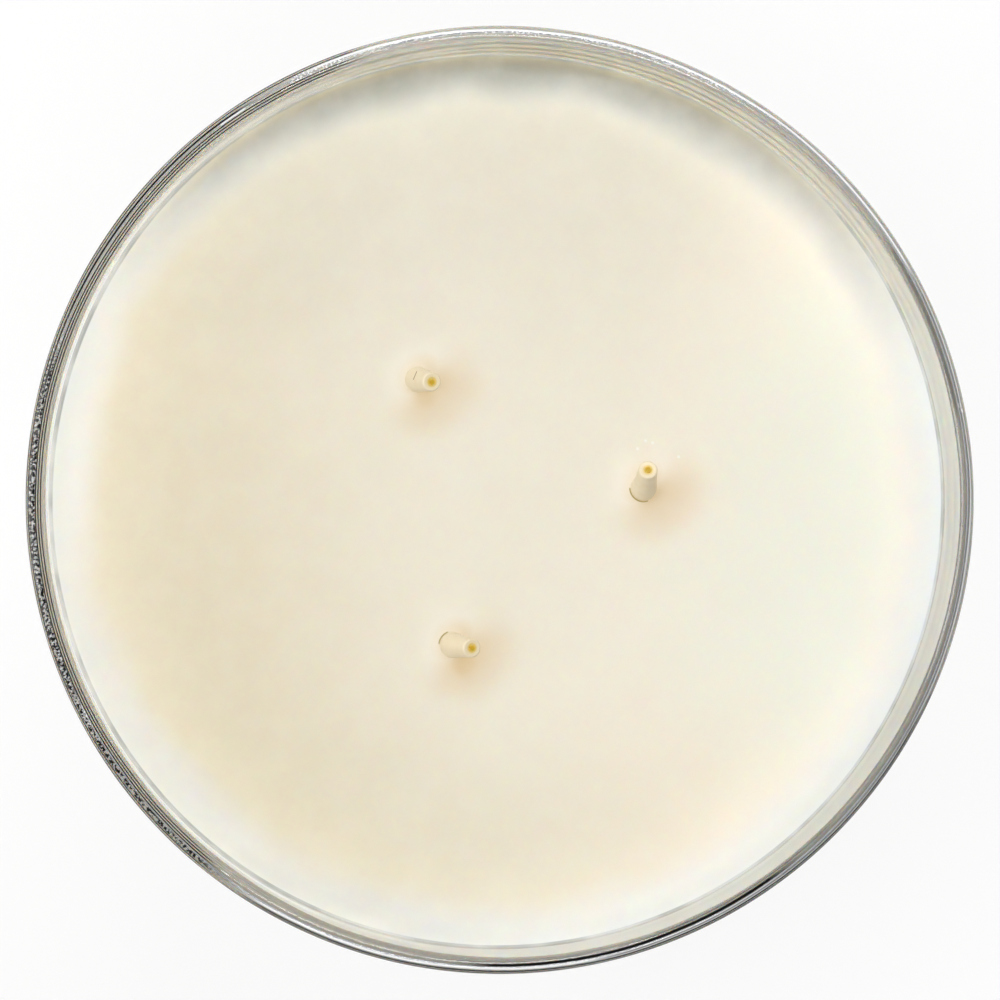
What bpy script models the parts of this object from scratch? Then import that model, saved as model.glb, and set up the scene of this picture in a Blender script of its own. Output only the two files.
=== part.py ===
# Three-wick scented candle in a clear glass jar, at its real size in metres, +Z up.
# The origin is the middle of the foot, on the surface that the jar stands on.

import math

import bmesh
import bpy

# Glass jar
JAR_HEIGHT = 0.0890
JAR_MOUTH_RADIUS = 0.0510      # outside, just under the lip
JAR_DRAFT = 0.0007             # how much smaller the outside is just above the heel
LIP_WALL = 0.0018              # glass at the fire-polished lip
FOOT_WALL = 0.0027             # glass where the wall meets the floor
FLOOR_HEIGHT = 0.0115          # top of the heavy glass floor
FLOOR_CORNER_RADIUS = 0.0065   # inside, between floor and wall
HEEL_RADIUS = 0.0048           # outside, between wall and foot
BEARING_WIDTH = 0.0080         # the flat ring that the jar stands on
PUSH_UP_DEPTH = 0.0014         # the dome inside that ring

# Wax fill
WAX_DEPTH = 0.0645             # from the glass floor to the flat of the surface
MENISCUS_RISE = 0.0009         # how far the set wax creeps up the glass
MENISCUS_WIDTH = 0.0050

# Wicks: where each stands, and which way and how far its trimmed end leans
WICK_DISTANCES = (0.0159, 0.0161, 0.0166)      # from the jar's axis
WICK_ANGLES = (123.4, 5.0, 252.7)
LEAN_DIRECTIONS = (-17.6, 85.8, -6.9)
LEAN_ANGLES = (17.4, 22.3, 23.5)
WICK_TRIM = 0.0066             # length that stands out of the wax
BEND_LENGTH = 0.0032           # over which a wick turns into its lean
CORE_RADIUS = 0.00042
BRAID_WALL = 0.00035
COAT_WALL = 0.00055            # wax coat, in the fill and at its surface
COAT_TIP_WALL = 0.00021        # wax coat at the trimmed end
PLY_GAP = 0.00005              # between core, braid and coat

# Sustainers: stamped discs with a drawn neck that is crimped on the wick
SUSTAINER_RADIUS = 0.0100
SUSTAINER_SHEET = 0.00025
NECK_HEIGHT = 0.0060           # above the underside of the disc
NECK_FILLET = 0.0009
BEAD_RADIUS = 0.0064           # stiffening bead pressed into the disc
BEAD_WIDTH = 0.0016
BEAD_HEIGHT = 0.00035
CRIMP_COUNT = 4
CRIMP_DEPTH = 0.00030
CRIMP_MARGIN = 0.0011          # plain neck above and below the crimps
CRIMP_GAP = 0.00010            # between the crimps and the braid

# Stickers: foam discs with adhesive on both faces
STICKER_RADIUS = 0.0090
STICKER_THICKNESS = 0.0008

SEAT_GAP = 0.0003              # between a piece and what it rests on or is cast round
CUTTER_OVERRUN = 0.0020        # how far a cutter passes the face that it cuts

JAR_SEGMENTS = 64
SUSTAINER_SEGMENTS = 24
STICKER_SEGMENTS = 32
MERGE_DISTANCE = 0.000001

# Radii of a wick from the inside out, and of the neck that is crimped on it
BRAID_RADIUS = CORE_RADIUS + PLY_GAP + BRAID_WALL
COAT_BORE = BRAID_RADIUS + PLY_GAP
COAT_RADIUS = COAT_BORE + COAT_WALL
COAT_TIP_RADIUS = COAT_BORE + COAT_TIP_WALL
NECK_RADIUS = BRAID_RADIUS + CRIMP_GAP + CRIMP_DEPTH + SUSTAINER_SHEET

# Heights over the glass floor
STICKER_BOTTOM = SEAT_GAP
SUSTAINER_BOTTOM = STICKER_BOTTOM + STICKER_THICKNESS + SEAT_GAP
NECK_TOP = SUSTAINER_BOTTOM + NECK_HEIGHT
COAT_BOTTOM = NECK_TOP + SEAT_GAP


# Scene

def clear_scene():
    for scene_object in list(bpy.data.objects):
        bpy.data.objects.remove(scene_object)


def new_collection(name):
    collection = bpy.data.collections.new(name)
    bpy.context.scene.collection.children.link(collection)
    return collection


def make_material(name, color, roughness, metallic=0.0, transmission=0.0):
    material = bpy.data.materials.new(name)
    material.use_nodes = True
    shader = material.node_tree.nodes["Principled BSDF"]
    shader.inputs["Base Color"].default_value = (*color, 1.0)
    shader.inputs["Roughness"].default_value = roughness
    shader.inputs["Metallic"].default_value = metallic
    shader.inputs["Transmission Weight"].default_value = transmission
    material.diffuse_color = (*color, 1.0)
    return material


def add_object(name, data, collection, material=None, parent=None):
    made = bpy.data.objects.new(name, data)
    collection.objects.link(made)
    if material is not None:
        made.data.materials.append(material)
    made.parent = parent
    return made


def shade_round(mesh):
    mesh.shade_smooth()
    mesh.set_sharp_from_angle(angle=math.radians(35))


# Outlines, as (radius, height) points

def arc(center, radius, start, end, steps):
    points = []
    for step in range(steps + 1):
        angle = math.radians(start + (end - start) * step / steps)
        points.append((center[0] + radius * math.cos(angle), center[1] + radius * math.sin(angle)))
    return points


def inner_radius(height):
    """Inside radius of the jar's tapered wall at a height."""
    low = JAR_MOUTH_RADIUS - JAR_DRAFT - FOOT_WALL
    high = JAR_MOUTH_RADIUS - LIP_WALL
    return low + (high - low) * (height - FLOOR_HEIGHT) / (JAR_HEIGHT - FLOOR_HEIGHT)


def floor_corner(gap=0.0):
    """The inside corner of the jar from floor to wall or, with a gap, of the wax cast in it."""
    center_height = FLOOR_HEIGHT + FLOOR_CORNER_RADIUS
    center = (inner_radius(center_height) - FLOOR_CORNER_RADIUS, center_height)
    return arc(center, FLOOR_CORNER_RADIUS - gap, -90, 0, 5)


def push_up(edge_radius):
    """The shallow dome under the floor, from its edge to the axis."""
    points = []
    steps = 5
    for step in range(1, steps + 1):
        share = 1 - step / steps
        points.append((edge_radius * share, PUSH_UP_DEPTH * (1 - share ** 4)))
    return points


def jar_outline():
    lip_center = (JAR_MOUTH_RADIUS - LIP_WALL / 2, JAR_HEIGHT - LIP_WALL / 2)
    heel_center = (JAR_MOUTH_RADIUS - JAR_DRAFT - HEEL_RADIUS, HEEL_RADIUS)
    push_up_radius = heel_center[0] - BEARING_WIDTH
    outline = [(0.0, FLOOR_HEIGHT)]
    outline += floor_corner()
    outline += arc(lip_center, LIP_WALL / 2, 180, 0, 8)
    outline += arc(heel_center, HEEL_RADIUS, 0, -90, 6)
    outline.append((push_up_radius, 0.0))
    outline += push_up(push_up_radius)
    return outline


def wax_outline():
    surface = FLOOR_HEIGHT + WAX_DEPTH
    edge = inner_radius(surface) - SEAT_GAP
    steps = 5
    outline = [(0.0, surface)]
    for step in range(steps + 1):
        share = step / steps
        outline.append((edge - MENISCUS_WIDTH * (1 - share), surface + MENISCUS_RISE * share ** 3))
    outline += reversed(floor_corner(SEAT_GAP))
    outline.append((0.0, FLOOR_HEIGHT + SEAT_GAP))
    return outline


def sustainer_disc(gap=0.0):
    """Fillet, disc and bead of a sustainer or, with a gap, of the wax cast over them."""
    disc_top = SUSTAINER_BOTTOM + SUSTAINER_SHEET + gap
    fillet_radius = NECK_FILLET - gap
    points = arc((NECK_RADIUS + NECK_FILLET, disc_top + fillet_radius), fillet_radius, 180, 270, 3)
    steps = 4
    for step in range(steps + 1):
        share = step / steps
        points.append((BEAD_RADIUS + BEAD_WIDTH * (share - 0.5),
                       disc_top + BEAD_HEIGHT * math.sin(math.pi * share)))
    return points


def sustainer_outline(crimp_middle, crimp_half):
    """Upper face of a sustainer, from the top of its neck to the edge of its disc."""
    disc = sustainer_disc()
    outline = [(NECK_RADIUS, NECK_TOP)]
    for share in (1, 0.5, 0, -0.5, -1):
        outline.append((NECK_RADIUS, crimp_middle + crimp_half * share))
    outline += disc
    outline.append((SUSTAINER_RADIUS, SUSTAINER_BOTTOM + SUSTAINER_SHEET))
    return outline


def pocket_outline():
    """What the wax is cast round: coated wick, sustainer and sticker, each with its gap."""
    above = WAX_DEPTH + MENISCUS_RISE + CUTTER_OVERRUN
    bore = COAT_RADIUS + SEAT_GAP
    wide = max(SUSTAINER_RADIUS, STICKER_RADIUS) + SEAT_GAP
    outline = [(0.0, above), (bore, above), (bore, NECK_TOP + SEAT_GAP)]
    outline.append((NECK_RADIUS + SEAT_GAP, NECK_TOP + SEAT_GAP))
    outline += sustainer_disc(SEAT_GAP)
    outline.append((wide, SUSTAINER_BOTTOM + SUSTAINER_SHEET + SEAT_GAP))
    outline += [(wide, -CUTTER_OVERRUN), (0.0, -CUTTER_OVERRUN)]
    return outline


# Solids

def turned(name, outline, segments, collection, material=None, parent=None):
    """Turns an outline round +Z; it runs down the outer side."""
    mesh = bpy.data.meshes.new(name)
    points = [(radius, 0.0, height) for radius, height in outline]
    edges = [(index, index + 1) for index in range(len(points) - 1)]
    mesh.from_pydata(points, edges, [])
    made = add_object(name, mesh, collection, material, parent)
    screw = made.modifiers.new("turn", "SCREW")
    screw.axis = "Z"
    screw.steps = segments
    screw.render_steps = segments
    screw.use_merge_vertices = True
    screw.merge_threshold = MERGE_DISTANCE
    return made


def as_mesh(source, material=None):
    """Replaces an object by a mesh object of its evaluated shape, with its seams welded."""
    graph = bpy.context.evaluated_depsgraph_get()
    mesh = bpy.data.meshes.new_from_object(source.evaluated_get(graph))
    work = bmesh.new()
    work.from_mesh(mesh)
    bmesh.ops.remove_doubles(work, verts=work.verts, dist=MERGE_DISTANCE)
    work.to_mesh(mesh)
    work.free()
    name, parent, collection = source.name, source.parent, source.users_collection[0]
    bpy.data.objects.remove(source)
    mesh.materials.clear()
    return add_object(name, mesh, collection, material, parent)


def thicken_inwards(target, thickness):
    wall = target.modifiers.new("wall", "SOLIDIFY")
    wall.thickness = thickness
    wall.offset = -1.0
    wall.use_even_offset = True


def cut(target, cutter):
    cutter.hide_render = True
    cutter.display_type = "WIRE"
    boolean = target.modifiers.new("cut " + cutter.name, "BOOLEAN")
    boolean.operation = "DIFFERENCE"
    boolean.object = cutter


def wick_path(start, lean, overrun=0.0):
    """A wick's middle line over the glass floor: upright in the wax, then bent to its lean along +X."""
    points = [(0.0, 0.0, start - overrun), (0.0, 0.0, WAX_DEPTH)]
    steps = 9
    step_length = WICK_TRIM / steps
    along, height, tilt = 0.0, WAX_DEPTH, 0.0
    for step in range(steps):
        share = min(1.0, (step + 0.5) * step_length / BEND_LENGTH)
        tilt = math.radians(lean) * share * share * (3 - 2 * share)
        along += step_length * math.sin(tilt)
        height += step_length * math.cos(tilt)
        points.append((along, 0.0, height))
    if overrun > 0:
        points.append((along + overrun * math.sin(tilt), 0.0, height + overrun * math.cos(tilt)))
    return points


def tube(name, points, radius, collection, material, parent, tip_share=1.0, capped=True):
    """A round bar along a path, which narrows to tip_share above the wax."""
    curve = bpy.data.curves.new(name, "CURVE")
    curve.dimensions = "3D"
    curve.bevel_depth = radius
    curve.bevel_resolution = 4
    curve.use_fill_caps = capped
    spline = curve.splines.new("POLY")
    spline.points.add(len(points) - 1)
    for index, point in enumerate(points):
        rise = max(0.0, point[2] - WAX_DEPTH) / WICK_TRIM
        spline.points[index].co = (*point, 1.0)
        spline.points[index].radius = 1.0 + (tip_share - 1.0) * min(1.0, rise)
    return as_mesh(add_object(name, curve, collection, None, parent), material)


# Sub-parts

def make_jar(parts, material):
    jar = turned("glass_jar", jar_outline(), JAR_SEGMENTS, parts, material)
    shade_round(jar.data)


def make_wax(parts, material, pockets):
    wax = turned("wax_fill", wax_outline(), JAR_SEGMENTS, parts, material)
    for pocket in pockets:
        cut(wax, pocket)
    shade_round(wax.data)


def make_sticker(label, seat, parts, material):
    mesh = bpy.data.meshes.new(label + "_sticker")
    work = bmesh.new()
    bmesh.ops.create_cone(work, cap_ends=True, segments=STICKER_SEGMENTS, radius1=STICKER_RADIUS,
                          radius2=STICKER_RADIUS, depth=STICKER_THICKNESS)
    work.to_mesh(mesh)
    work.free()
    sticker = add_object(label + "_sticker", mesh, parts, material, seat)
    sticker.location.z = STICKER_BOTTOM + STICKER_THICKNESS / 2
    shade_round(mesh)


def make_sustainer(label, seat, parts, material):
    """The turned upper face, dented by the crimps and given its sheet's thickness downwards."""
    crimp_top = NECK_TOP - CRIMP_MARGIN
    crimp_bottom = SUSTAINER_BOTTOM + SUSTAINER_SHEET + NECK_FILLET + CRIMP_MARGIN
    crimp_middle = (crimp_top + crimp_bottom) / 2
    crimp_half = (crimp_top - crimp_bottom) / 2
    outline = sustainer_outline(crimp_middle, crimp_half)
    blank = turned(label + "_sustainer", outline, SUSTAINER_SEGMENTS, parts, None, seat)
    sustainer = as_mesh(blank, material)
    for vertex in sustainer.data.vertices:
        radius = math.hypot(vertex.co.x, vertex.co.y)
        reach = abs(vertex.co.z - crimp_middle) / crimp_half
        if reach < 1:
            angle = math.atan2(vertex.co.y, vertex.co.x)
            dent = max(0.0, math.cos(CRIMP_COUNT * angle)) * math.cos(math.pi / 2 * reach)
            vertex.co.x *= 1 - CRIMP_DEPTH * dent / radius
            vertex.co.y *= 1 - CRIMP_DEPTH * dent / radius
    thicken_inwards(sustainer, SUSTAINER_SHEET)
    shade_round(sustainer.data)


def make_wick(label, seat, lean, parts, cutters, materials):
    """Core, braided sleeve and wax coat, one round the other along the same line."""
    whole = wick_path(SUSTAINER_BOTTOM, lean)
    core = tube(label + "_core", whole, CORE_RADIUS, parts, materials["core"], seat)
    braid = tube(label + "_braid", whole, BRAID_RADIUS, parts, materials["braid"], seat, capped=False)
    thicken_inwards(braid, BRAID_WALL)
    coat = tube(label + "_wax_coat", wick_path(COAT_BOTTOM, lean), COAT_RADIUS, parts, materials["coat"],
                seat, COAT_TIP_RADIUS / COAT_RADIUS)
    hole = tube(label + "_coat_hole", wick_path(COAT_BOTTOM, lean, CUTTER_OVERRUN), COAT_BORE, cutters,
                None, seat)
    cut(coat, hole)
    for piece in (core, braid, coat):
        shade_round(piece.data)


def main():
    clear_scene()
    parts = new_collection("scented_candle")
    cutters = new_collection("cutters")
    materials = {
        "glass": make_material("clear_glass", (0.90, 0.93, 0.92), 0.02, transmission=1.0),
        "wax": make_material("cream_wax", (0.84, 0.79, 0.66), 0.42),
        "coat": make_material("wick_wax", (0.80, 0.70, 0.49), 0.30),
        "braid": make_material("cotton_braid", (0.82, 0.74, 0.56), 0.85),
        "core": make_material("amber_core", (0.58, 0.38, 0.05), 0.60),
        "tin": make_material("tin_plate", (0.70, 0.71, 0.70), 0.30, metallic=1.0),
        "foam": make_material("sticker_foam", (0.88, 0.88, 0.85), 0.80),
    }
    pockets = []
    for index, angle in enumerate(WICK_ANGLES):
        label = "wick_" + str(index + 1)
        turn = math.radians(angle)
        distance = WICK_DISTANCES[index]
        seat = add_object(label + "_seat", None, parts)
        seat.location = (distance * math.cos(turn), distance * math.sin(turn), FLOOR_HEIGHT)
        seat.rotation_euler.z = math.radians(LEAN_DIRECTIONS[index])
        make_sticker(label, seat, parts, materials["foam"])
        make_sustainer(label, seat, parts, materials["tin"])
        make_wick(label, seat, LEAN_ANGLES[index], parts, cutters, materials)
        pockets.append(turned(label + "_pocket", pocket_outline(), SUSTAINER_SEGMENTS, cutters, None, seat))
    make_jar(parts, materials["glass"])
    make_wax(parts, materials["wax"], pockets)


main()
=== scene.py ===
# Three-wick scented candle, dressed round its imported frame: pressed glass jar, poured cream wax,
# waxed wicks and their crimped sustainers. Metres, +Z up, +Y to the top of the picture.

import math

import bmesh
import bpy
from mathutils import Matrix, Vector, noise


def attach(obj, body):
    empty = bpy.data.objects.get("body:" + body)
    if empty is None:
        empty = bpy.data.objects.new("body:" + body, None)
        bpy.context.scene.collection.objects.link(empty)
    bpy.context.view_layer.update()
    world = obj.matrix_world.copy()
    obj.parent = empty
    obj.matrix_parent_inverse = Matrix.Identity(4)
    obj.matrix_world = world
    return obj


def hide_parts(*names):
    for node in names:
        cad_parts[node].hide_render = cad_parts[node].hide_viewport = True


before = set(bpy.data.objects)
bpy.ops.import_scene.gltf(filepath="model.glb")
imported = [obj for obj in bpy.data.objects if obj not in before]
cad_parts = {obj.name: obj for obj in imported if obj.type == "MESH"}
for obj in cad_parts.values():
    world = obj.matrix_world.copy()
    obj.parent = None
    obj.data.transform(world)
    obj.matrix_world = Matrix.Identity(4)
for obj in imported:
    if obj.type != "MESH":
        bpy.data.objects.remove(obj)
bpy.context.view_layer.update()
scene = bpy.context.scene
scene.view_settings.view_transform = "Standard"
scene.cycles.glossy_bounces = 16        # light runs up and down inside the wall of the jar
scene.cycles.max_bounces = 20


# Meshes

def addPiece(name, mesh, finish=None):
    piece = bpy.data.objects.new(name, mesh)
    scene.collection.objects.link(piece)
    if finish is not None:
        mesh.materials.clear()
        mesh.materials.append(finish)
    return piece


def flatten(piece, finish=None, sharpAngle=180, weld=0.000001):
    # the evaluated shape as a plain mesh, seams merged and faces outwards
    graph = bpy.context.evaluated_depsgraph_get()
    mesh = bpy.data.meshes.new_from_object(piece.evaluated_get(graph))
    name = piece.name
    bpy.data.objects.remove(piece)
    work = bmesh.new()
    work.from_mesh(mesh)
    if weld:
        bmesh.ops.remove_doubles(work, verts=work.verts, dist=weld)
    bmesh.ops.recalc_face_normals(work, faces=work.faces)
    work.to_mesh(mesh)
    work.free()
    mesh.shade_smooth()
    if sharpAngle < 180:
        mesh.set_sharp_from_angle(angle=math.radians(sharpAngle))
    return addPiece(name, mesh, finish)


def arc(center, radius, start, end, steps):
    points = []
    for step in range(steps + 1):
        angle = math.radians(start + (end - start) * step / steps)
        points.append((center[0] + radius * math.cos(angle), center[1] + radius * math.sin(angle)))
    return points


def between(start, end, steps):
    # even points on the way from start to end, without either of them
    return [(start[0] + (end[0] - start[0]) * step / steps, start[1] + (end[1] - start[1]) * step / steps)
            for step in range(1, steps)]


def pathMesh(name, points):
    mesh = bpy.data.meshes.new(name)
    mesh.from_pydata(points, [(index, index + 1) for index in range(len(points) - 1)], [])
    return mesh


def turn(name, outline, segments):
    # turns (radius, height) points round +Z; they run down the outer side
    piece = addPiece(name, pathMesh(name, [(radius, 0.0, height) for radius, height in outline]))
    screw = piece.modifiers.new("turn", "SCREW")
    screw.axis = "Z"
    screw.steps = segments
    screw.render_steps = segments
    screw.use_merge_vertices = True
    screw.merge_threshold = 0.000001
    return piece


def heading(azimuth):
    angle = math.radians(azimuth)
    return Vector((math.cos(angle), math.sin(angle), 0.0))


def pushIn(vertex, depth):
    # moves a vertex towards the +Z axis
    share = 1 - depth / math.hypot(vertex.co.x, vertex.co.y)
    vertex.co.x *= share
    vertex.co.y *= share


def smooth(value):
    value = max(0.0, min(1.0, value))
    return value * value * (3 - 2 * value)


# Geometry Nodes and shader helpers

def newTree(name, inputs):
    tree = bpy.data.node_groups.new(name, "GeometryNodeTree")
    tree.interface.new_socket("Geometry", in_out="INPUT", socket_type="NodeSocketGeometry")
    for label, (kind, value) in inputs.items():
        socket = tree.interface.new_socket(label, in_out="INPUT", socket_type="NodeSocket" + kind)
        if value is not None:
            socket.default_value = value
    tree.interface.new_socket("Geometry", in_out="OUTPUT", socket_type="NodeSocketGeometry")
    return tree, tree.nodes.new("NodeGroupInput"), tree.nodes.new("NodeGroupOutput")


def addNode(tree, kind, inputs=None, **settings):
    node = tree.nodes.new(kind)
    for key, value in settings.items():
        setattr(node, key, value)
    for key, value in (inputs or {}).items():
        if isinstance(value, bpy.types.NodeSocket):
            tree.links.new(value, node.inputs[key])
        else:
            node.inputs[key].default_value = value
    return node


def calc(tree, operation, first, second=0.0):
    return addNode(tree, "ShaderNodeMath", {0: first, 1: second}, operation=operation).outputs[0]


def plus(tree, first, second):
    return calc(tree, "ADD", first, second)


def minus(tree, first, second):
    return calc(tree, "SUBTRACT", first, second)


def times(tree, first, second):
    return calc(tree, "MULTIPLY", first, second)


def vector(tree, operation, first, second=None, scale=None):
    inputs = {0: first}
    if second is not None:
        inputs[1] = second
    if scale is not None:
        inputs["Scale"] = scale
    node = addNode(tree, "ShaderNodeVectorMath", inputs, operation=operation)
    return node.outputs["Value" if operation in ("LENGTH", "DOT_PRODUCT", "DISTANCE") else "Vector"]


def axial(tree, axis, length):
    # a vector along one axis: 0 is X and 2 is Z
    return addNode(tree, "ShaderNodeCombineXYZ", {axis: length}).outputs[0]


def fade(tree, value, low, high, toLow=0.0, toHigh=1.0):
    inputs = {"Value": value, "From Min": low, "From Max": high, "To Min": toLow, "To Max": toHigh}
    return addNode(tree, "ShaderNodeMapRange", inputs, interpolation_type="SMOOTHSTEP").outputs["Result"]


def grain(tree, place, scale, detail=2.0, stretch=None):
    if stretch is not None:
        place = vector(tree, "MULTIPLY", place, stretch)
    inputs = {"Vector": place, "Scale": scale, "Detail": detail}
    return addNode(tree, "ShaderNodeTexNoise", inputs).outputs[0]


def drift(tree, place, scale, detail, span):
    # noise that wanders round 0
    return times(tree, minus(tree, grain(tree, place, scale, detail), 0.5), span)


def plan(tree, place):
    # the place as seen from above, and its height
    parts = addNode(tree, "ShaderNodeSeparateXYZ", {0: place}).outputs
    return addNode(tree, "ShaderNodeCombineXYZ", {0: parts[0], 1: parts[1]}).outputs[0], parts[2]


def colorValue(color):
    return color if isinstance(color, bpy.types.NodeSocket) else (*color, 1.0)


def blend(tree, share, first, second):
    inputs = {0: share, 6: colorValue(first), 7: colorValue(second)}
    return addNode(tree, "ShaderNodeMix", inputs, data_type="RGBA").outputs[2]


def moveBy(tree, geometry, offset):
    return addNode(tree, "GeometryNodeSetPosition", {"Geometry": geometry, "Offset": offset}).outputs[0]


def finishTree(tree, geometry, finish, result):
    real = addNode(tree, "GeometryNodeRealizeInstances", {"Geometry": geometry}).outputs[0]
    painted = addNode(tree, "GeometryNodeSetMaterial", {"Geometry": real, "Material": finish}).outputs[0]
    tree.links.new(painted, result.inputs["Geometry"])


def runTree(piece, tree, values):
    modifier = piece.modifiers.new(tree.name, "NODES")
    modifier.node_group = tree
    identifiers = {item.name: item.identifier for item in tree.interface.items_tree
                   if item.in_out == "INPUT"}
    for label, value in values.items():
        modifier[identifiers[label]] = value


def newFinish(name, roughness, ior=1.5, **sockets):
    finish = bpy.data.materials.new(name)
    finish.use_nodes = True
    tree = finish.node_tree
    shader = tree.nodes["Principled BSDF"]
    shader.inputs["Roughness"].default_value = roughness
    shader.inputs["IOR"].default_value = ior
    for label, value in sockets.items():
        shader.inputs[label.replace("_", " ")].default_value = value
    place = tree.nodes.new("ShaderNodeTexCoord").outputs["Object"]
    return finish, tree, shader, place


def feed(tree, shader, **values):
    for label, value in values.items():
        tree.links.new(value, shader.inputs[label.replace("_", " ")])


def addBump(tree, shader, height, strength, distance):
    inputs = {"Height": height, "Strength": strength, "Distance": distance}
    feed(tree, shader, Normal=addNode(tree, "ShaderNodeBump", inputs).outputs["Normal"])


def mixOut(tree, share, first, second):
    mix = addNode(tree, "ShaderNodeMixShader", {0: share, 1: first.outputs[0], 2: second.outputs[0]})
    tree.links.new(mix.outputs[0], tree.nodes["Material Output"].inputs["Surface"])


def letThrough(tree, shader, tint, spread):
    # shadow rays run on through the piece, tinted, and so does a share of the light that the wax scatters
    path = tree.nodes.new("ShaderNodeLightPath").outputs
    share = calc(tree, "MAXIMUM", path["Is Shadow Ray"], times(tree, path["Is Diffuse Ray"], spread))
    mixOut(tree, share, shader, addNode(tree, "ShaderNodeBsdfTransparent", {"Color": (*tint, 1.0)}))


# Camera: straight above, about 0.56 m over the lip and a little to the lower left

camera = {
    "height": 0.649,
    "offset": (-0.0163, -0.0066),
    "target": (-0.00012, -0.00008, 0.089),
    "lens": 187.9,
}


def addCamera():
    data = bpy.data.cameras.new("camera")
    data.lens = camera["lens"]
    data.sensor_width = 36.0
    data.clip_start = 0.01
    data.clip_end = 20.0
    eye = bpy.data.objects.new("camera", data)
    scene.collection.objects.link(eye)
    place = Vector((*camera["offset"], camera["height"]))
    back = (place - Vector(camera["target"])).normalized()
    right = Vector((0.0, 1.0, 0.0)).cross(back).normalized()
    up = back.cross(right)
    eye.matrix_world = Matrix.Translation(place) @ Matrix((right, up, back)).transposed().to_4x4()
    scene.camera = eye


# Light: white walls low down, dimmer behind the candle, a dark ceiling, and three soft boxes

studio = {
    "wall": (0.30, 0.31, 0.32),         # left, right and front of the candle, as it lights the wax
    "backWall": (0.12, 0.12, 0.11),
    "ceiling": (0.14, 0.14, 0.14),
    "wallTurn": (0.25, 0.75),           # how far back, and how high up, the walls fade over
    "ceilingEdge": (0.50, 0.80),
    "distance": 3.0,
    "boxes": {                          # azimuth and height over the floor in degrees, width and depth
        "back_box": {"from": (80, 52), "size": (1.80, 0.72), "power": 40.0},
        "front_box": {"from": (272, 70), "size": (1.10, 0.48), "power": 20.0},
        "left_box": {"from": (176, 42), "size": (1.50, 1.50), "power": 32.0},
    },
    "floorColor": (0.98, 0.98, 0.98),
    "floorGlow": 0.85,
    "floorSize": 1.6,
}


def seenPath(tree):
    # 1 for rays that see the backdrop, straight or in glass, and 0 for rays that light something
    path = tree.nodes.new("ShaderNodeLightPath").outputs
    seen = calc(tree, "MAXIMUM", path["Is Camera Ray"], path["Is Glossy Ray"])
    seen = calc(tree, "MAXIMUM", seen, path["Is Transmission Ray"])
    return times(tree, seen, calc(tree, "LESS_THAN", path["Diffuse Depth"], 0.5))


def addStudio():
    world = bpy.data.worlds.new("studio")
    scene.world = world
    world.use_nodes = True
    tree = world.node_tree
    direction = tree.nodes.new("ShaderNodeTexCoord").outputs["Generated"]
    parts = addNode(tree, "ShaderNodeSeparateXYZ", {0: direction}).outputs
    walls = blend(tree, fade(tree, parts[1], *studio["wallTurn"]), studio["wall"], studio["backWall"])
    backdrop = blend(tree, seenPath(tree), walls, (1.0, 1.0, 1.0))
    overhead = fade(tree, parts[2], *studio["ceilingEdge"])
    color = blend(tree, overhead, backdrop, studio["ceiling"])
    tree.links.new(color, tree.nodes["Background"].inputs["Color"])
    tree.nodes["Background"].inputs["Strength"].default_value = 1.0
    for name, box in studio["boxes"].items():
        light = bpy.data.lights.new(name, "AREA")
        light.energy = box["power"]
        light.shape = "RECTANGLE"
        light.size, light.size_y = box["size"]
        lamp = bpy.data.objects.new(name, light)
        scene.collection.objects.link(lamp)
        azimuth, height = box["from"][0], math.radians(box["from"][1])
        away = heading(azimuth) * math.cos(height) + Vector((0.0, 0.0, math.sin(height)))
        lamp.location = away * studio["distance"]
        lamp.rotation_euler = away.to_track_quat("Z", "Y").to_euler()


def addFloor():
    half = studio["floorSize"] / 2
    mesh = bpy.data.meshes.new("studio_floor")
    corners = [(-half, -half, 0.0), (half, -half, 0.0), (half, half, 0.0), (-half, half, 0.0)]
    mesh.from_pydata(corners, [], [(0, 1, 2, 3)])
    finish, tree, shader, place = newFinish("floor_paint", 0.9)
    deeper = [value * 0.99 for value in studio["floorColor"]]
    feed(tree, shader, Base_Color=blend(tree, grain(tree, place, 30.0), studio["floorColor"], deeper))
    share = times(tree, seenPath(tree), studio["floorGlow"])
    glow = addNode(tree, "ShaderNodeEmission", {"Color": (1.0, 1.0, 1.0, 1.0), "Strength": 1.0})
    mixOut(tree, share, shader, glow)
    addPiece("studio_floor", mesh, finish)


addCamera()
addStudio()
addFloor()
print("camera, light and floor placed")


# Glass jar

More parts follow.
